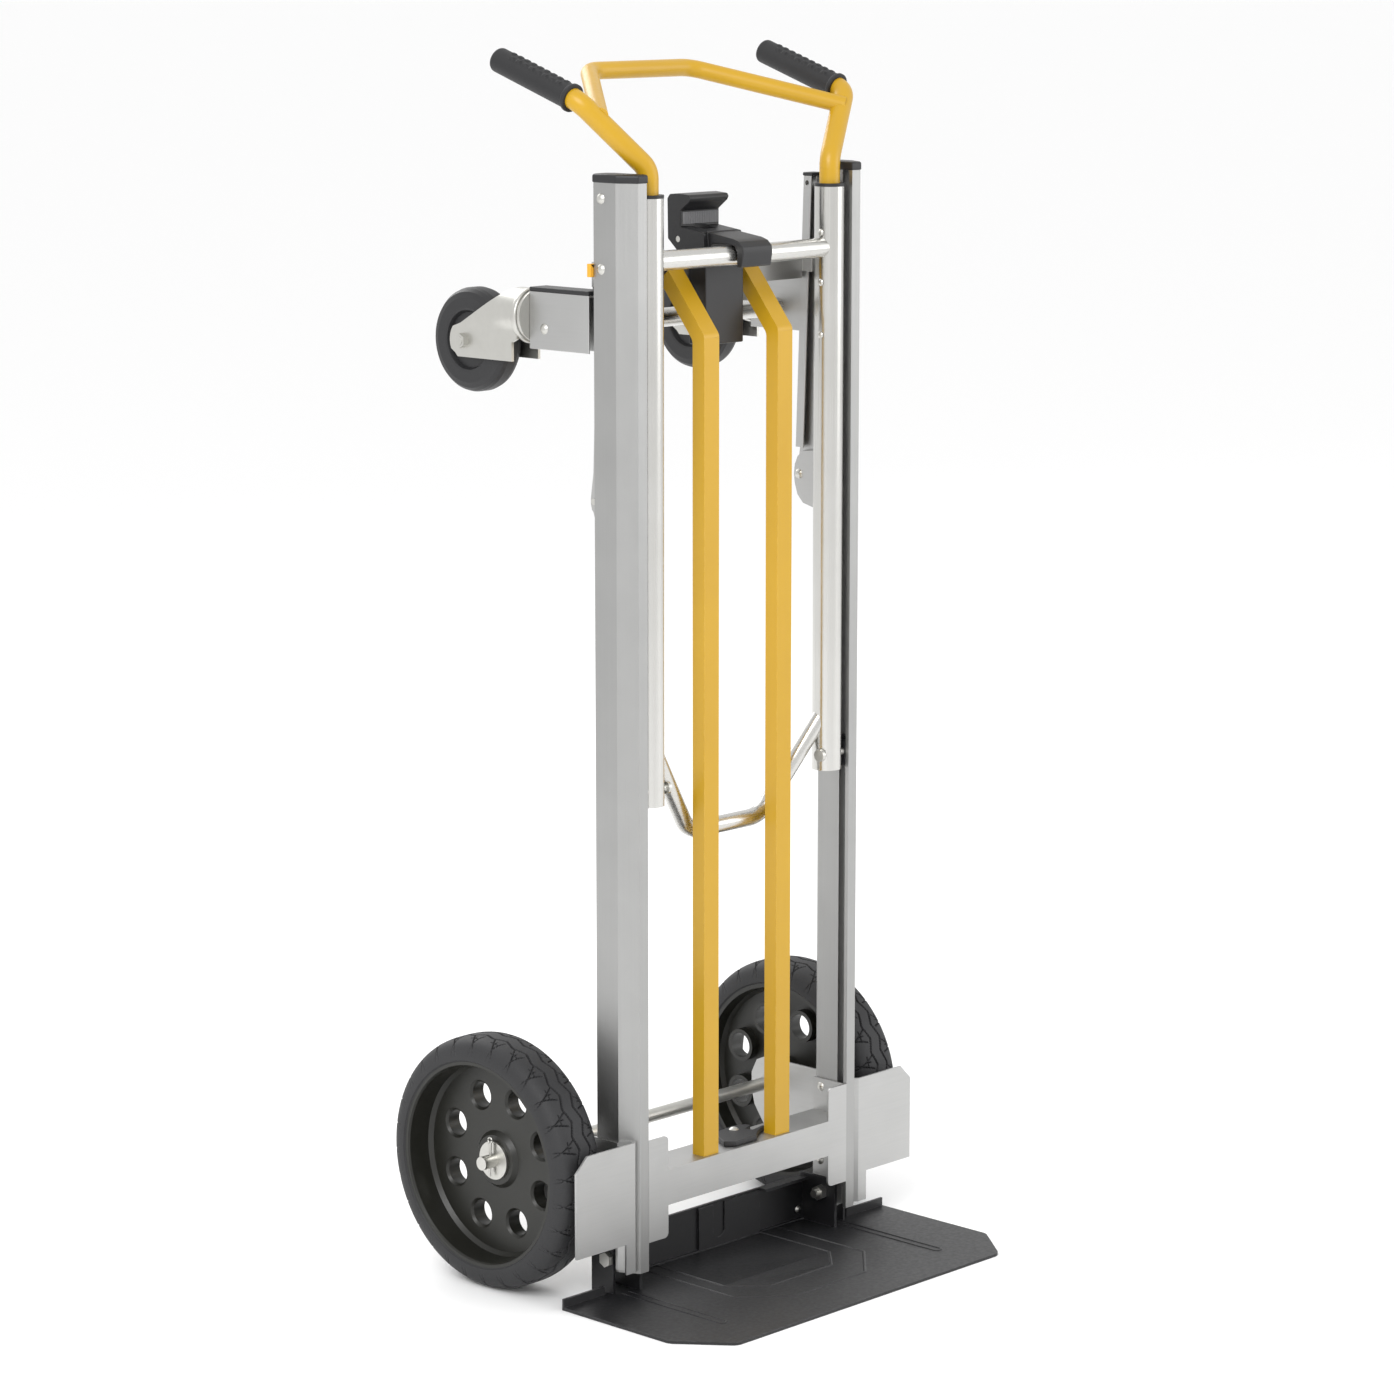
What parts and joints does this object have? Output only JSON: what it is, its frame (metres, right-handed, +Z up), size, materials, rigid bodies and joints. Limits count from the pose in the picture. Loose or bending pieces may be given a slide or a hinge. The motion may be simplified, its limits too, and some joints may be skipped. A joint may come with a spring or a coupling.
{
  "type": "convertible hand truck",
  "caption": "Two-rail aluminium hand truck with sliding folding handle, yellow slats, black toe plate, spoked wheels and fold-out rear casters; converts to a flat cart.",
  "frame": {"origin": "on the ground under the middle of the toe plate, level with the rear edge of its wings", "axes": "+X to the right seen from the load side, +Y towards the wheels and casters, +Z up along the rails"},
  "size_m": [0.473, 0.4189, 1.1632],
  "materials": {
    "extrusion_aluminium": "satin anodised",
    "sheet_aluminium": "brushed and anodised",
    "tube_aluminium": "polished",
    "yellow_coat": "powder coat",
    "yellow_plastic": "moulded",
    "black_coat": "satin powder coat",
    "black_plastic": "moulded nylon",
    "grey_plastic": "moulded",
    "hub_plastic": "moulded",
    "tyre_rubber": "matte",
    "caster_rubber": "matte",
    "grip_rubber": "matte",
    "zinc_steel": "bright zinc"
  },
  "bodies": {
    "frame": {"rail_left": "extrusion_aluminium", "rail_right": "extrusion_aluminium", "rail_cap_left": "black_plastic", "rail_cap_right": "black_plastic", "wheel_bracket_left": "sheet_aluminium", "wheel_bracket_right": "sheet_aluminium", "lower_crossbar": "sheet_aluminium", "slat_left": "yellow_coat", "slat_right": "yellow_coat", "slat_top_bar": "sheet_aluminium", "latch_post": "black_plastic", "toe_plate": "black_coat", "toe_plate_bolts": "zinc_steel", "axle": "zinc_steel", "axle_spacers": "zinc_steel", "axle_washers": "zinc_steel", "cotter_pins": "zinc_steel", "pivot_plates": "sheet_aluminium", "pivot_pins": "zinc_steel", "frame_rivets": "zinc_steel", "latch_pin": "zinc_steel", "latch_spring": "zinc_steel"},
    "wheel_left": {"tyre_left": "tyre_rubber", "hub_left": "hub_plastic"},
    "wheel_right": {"tyre_right": "tyre_rubber", "hub_right": "hub_plastic"},
    "handle_carriage": {"slider_left": "black_plastic", "slider_right": "black_plastic", "pivot_bolts": "zinc_steel"},
    "handle": {"handle_tube_left": "tube_aluminium", "handle_tube_right": "tube_aluminium", "tube_collars": "black_plastic", "handle_crossbar": "tube_aluminium", "u_bar": "tube_aluminium", "handle_leg_left": "yellow_coat", "handle_leg_right": "yellow_coat", "handle_loop": "yellow_coat", "grip_left": "grip_rubber", "grip_right": "grip_rubber", "handle_screws": "zinc_steel"},
    "latch": {"push_latch": "black_plastic", "latch_strip": "grey_plastic"},
    "caster_frame": {"caster_leg_left": "sheet_aluminium", "caster_leg_right": "sheet_aluminium", "leg_caps": "black_plastic", "caster_bracket_left": "sheet_aluminium", "caster_bracket_right": "sheet_aluminium", "bracket_caps": "black_plastic", "caster_cross_tube": "tube_aluminium", "caster_rivets": "zinc_steel", "caster_races": "zinc_steel"},
    "swivel_left": {"caster_fork_left": "zinc_steel", "caster_axle_left": "zinc_steel"},
    "swivel_right": {"caster_fork_right": "zinc_steel", "caster_axle_right": "zinc_steel"},
    "caster_left": {"caster_wheel_left": "caster_rubber"},
    "caster_right": {"caster_wheel_right": "caster_rubber"},
    "button_left": {"lock_button_left": "yellow_plastic"},
    "button_right": {"lock_button_right": "yellow_plastic"},
    "catch": {"swing_catch": "black_plastic"}
  },
  "joints": [
    {"name": "wheel_left_spin", "type": "hinge", "parent": "frame", "child": "wheel_left", "pos_m": [-0.209, 0.1078, 0.1215], "axis": [1, 0, 0], "continuous": true},
    {"name": "wheel_right_spin", "type": "hinge", "parent": "frame", "child": "wheel_right", "pos_m": [0.209, 0.1078, 0.1215], "axis": [1, 0, 0], "continuous": true},
    {"name": "handle_slide", "type": "slide", "parent": "frame", "child": "handle_carriage", "axis": [0, 0, 1], "range_m": [0, 0.36]},
    {"name": "handle_fold", "type": "hinge", "parent": "handle_carriage", "child": "handle", "pos_m": [0, -0.0175, 0.484], "axis": [1, 0, 0], "range_deg": [0, 90]},
    {"name": "latch_lift", "type": "hinge", "parent": "frame", "child": "latch", "pos_m": [0, 0.045, 0.985], "axis": [-1, 0, 0], "range_deg": [0, 20], "stiffness_Nm_per_rad": 0.6, "springref_deg": -17.19},
    {"name": "caster_frame_fold", "type": "hinge", "parent": "frame", "child": "caster_frame", "pos_m": [0, 0.0395, 0.75], "axis": [-1, 0, 0], "range_deg": [0, 45]},
    {"name": "caster_left_swivel", "type": "hinge", "parent": "caster_frame", "child": "swivel_left", "pos_m": [-0.1495, 0.112, 0.918], "axis": [0, 1, 0], "continuous": true},
    {"name": "caster_right_swivel", "type": "hinge", "parent": "caster_frame", "child": "swivel_right", "pos_m": [0.1495, 0.112, 0.918], "axis": [0, 1, 0], "continuous": true},
    {"name": "caster_left_spin", "type": "hinge", "parent": "swivel_left", "child": "caster_left", "pos_m": [-0.1495, 0.186, 0.891], "axis": [1, 0, 0], "continuous": true},
    {"name": "caster_right_spin", "type": "hinge", "parent": "swivel_right", "child": "caster_right", "pos_m": [0.1495, 0.186, 0.891], "axis": [1, 0, 0], "continuous": true},
    {"name": "button_left_press", "type": "slide", "parent": "frame", "child": "button_left", "axis": [1, 0, 0], "range_m": [0, 0.003], "stiffness_N_per_m": 400, "springref_m": -0.002},
    {"name": "button_right_press", "type": "slide", "parent": "frame", "child": "button_right", "axis": [-1, 0, 0], "range_m": [0, 0.003], "stiffness_N_per_m": 400, "springref_m": -0.002},
    {"name": "catch_swing", "type": "hinge", "parent": "frame", "child": "catch", "pos_m": [0.0151, 0.0096, 0.121], "axis": [0, 0, 1], "range_deg": [0, 25]}
  ]
}
